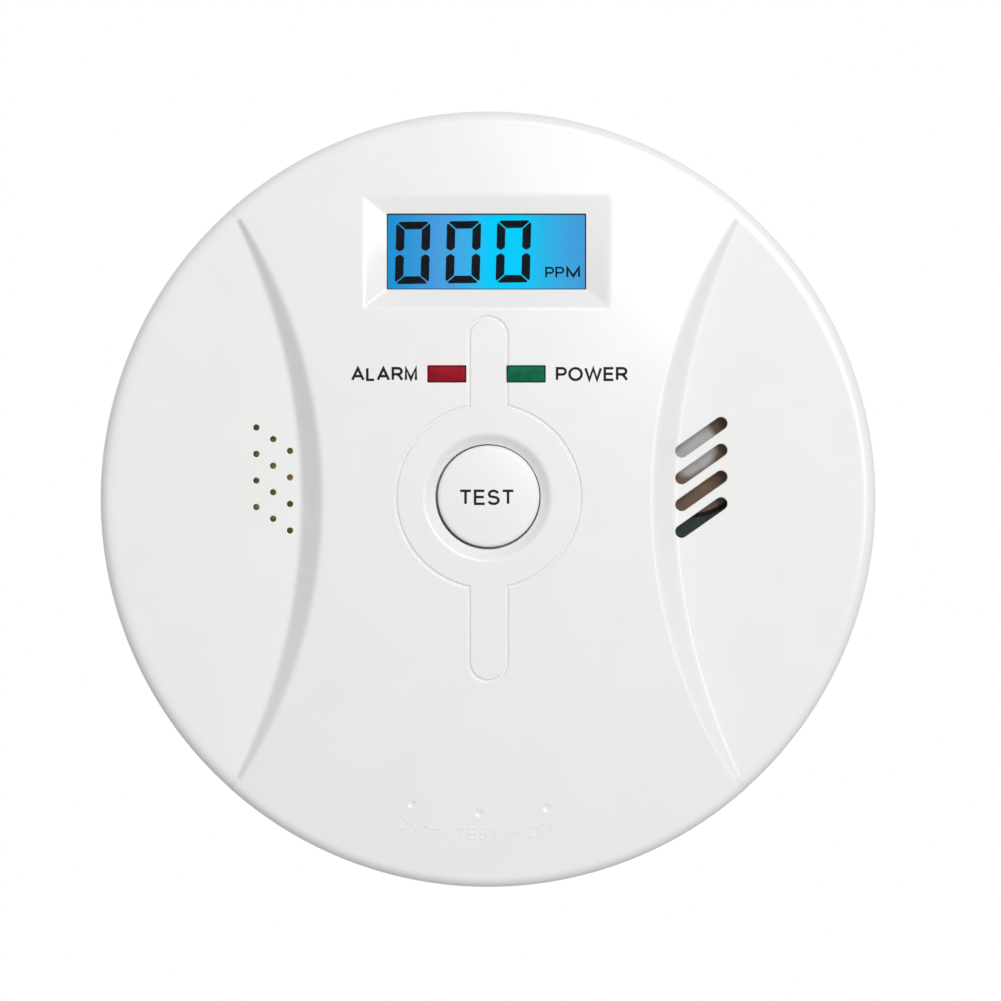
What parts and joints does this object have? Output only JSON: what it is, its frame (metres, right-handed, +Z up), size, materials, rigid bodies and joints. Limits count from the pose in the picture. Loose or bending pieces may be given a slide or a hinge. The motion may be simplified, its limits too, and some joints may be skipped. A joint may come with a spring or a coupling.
{
  "type": "carbon monoxide detector",
  "caption": "Round white wall-mounted carbon monoxide alarm with a shallow domed face, lit display, central test button, indicator lamps, sound holes, gas slots and a twist-lock bracket.",
  "frame": {"origin": "centre of the wall bracket's back face, on the wall plane Y = 0", "axes": "-Y out of the wall through the face, +Y into the wall, +X to the right as seen from the front, +Z up"},
  "size_m": [0.1, 0.0379, 0.1],
  "materials": {
    "white_abs": "fine matt, moulded",
    "case_abs": "fine matt, moulded",
    "button_abs": "satin, moulded",
    "steel": "bright zinc plated",
    "nickel": "bright nickel plated",
    "pin_gold": "gold flashed",
    "black_plastic": "matt",
    "grey_plastic": "matt",
    "white_plastic": "gloss",
    "polariser": "smooth film",
    "glass": "clear",
    "lcd_ink": "dark liquid crystal",
    "seal": "cured resin",
    "light_guide": "lit blue-cyan",
    "led_red": "tinted epoxy",
    "led_green": "tinted epoxy",
    "pcb_green": "solder mask",
    "pcb_brown": "bare phenolic paper",
    "chip": "moulded epoxy",
    "can_sleeve": "shrink sleeve",
    "ferrite": "sintered",
    "copper": "enamelled wire",
    "ceramic_tan": "fired",
    "sensor_metal": "pressed",
    "carbon": "carbon felt",
    "resin_brown": "moulded resin",
    "tape": "foam tape",
    "brass": "rolled",
    "piezo": "silvered",
    "wire_red": "PVC",
    "wire_black": "PVC",
    "cell_sleeve": "printed film"
  },
  "bodies": {
    "bracket": {"mounting_bracket": "case_abs"},
    "housing": {"rear_housing": "case_abs", "front_housing": "white_abs", "housing_screws": "steel", "tact_switch_body": "black_plastic", "tact_switch_cover": "nickel", "tact_switch_pins": "nickel", "lcd_front_polariser": "polariser", "lcd_front_glass": "glass", "lcd_segments": "lcd_ink", "lcd_seal": "seal", "lcd_rear_glass": "glass", "lcd_rear_polariser": "polariser", "lcd_light_guide": "light_guide", "lcd_backlight_leds": "white_plastic", "lcd_frame": "white_plastic", "lcd_pins": "nickel", "alarm_led": "led_red", "power_led": "led_green", "led_leads": "nickel", "main_pcb": "pcb_green", "pcb_screws": "steel", "microcontroller": "chip", "amplifier_chip": "chip", "chip_leads": "nickel", "quartz_crystal": "nickel", "capacitor_cans": "can_sleeve", "inductor_core": "ferrite", "inductor_winding": "copper", "transistors": "chip", "chip_resistors": "chip", "chip_capacitors": "ceramic_tan", "co_sensor_can": "sensor_metal", "co_sensor_filter": "carbon", "co_sensor_cell": "grey_plastic", "co_sensor_base": "resin_brown", "co_sensor_pins": "pin_gold", "sensor_board": "pcb_brown", "sensor_header": "black_plastic", "sensor_header_pins": "pin_gold", "sounder_tape": "tape", "sounder_plate": "brass", "sounder_ceramic": "piezo", "sounder_lead_red": "wire_red", "sounder_lead_black": "wire_black", "battery_1": "cell_sleeve", "battery_2": "cell_sleeve", "battery_3": "cell_sleeve", "battery_terminals": "nickel", "battery_springs": "nickel", "battery_contacts": "nickel", "battery_lead_red": "wire_red", "battery_lead_black": "wire_black"},
    "button": {"test_button": "button_abs", "tact_switch_plunger": "grey_plastic"}
  },
  "joints": [
    {"name": "twist", "type": "hinge", "parent": "bracket", "child": "housing", "pos_m": [0, 0, 0], "axis": [0, 1, 0], "range_deg": [0, 24.8]},
    {"name": "button_press", "type": "slide", "parent": "housing", "child": "button", "axis": [0, 1, 0], "range_m": [0, 0.0005], "stiffness_N_per_m": 3000, "springref_m": -0.0002}
  ]
}
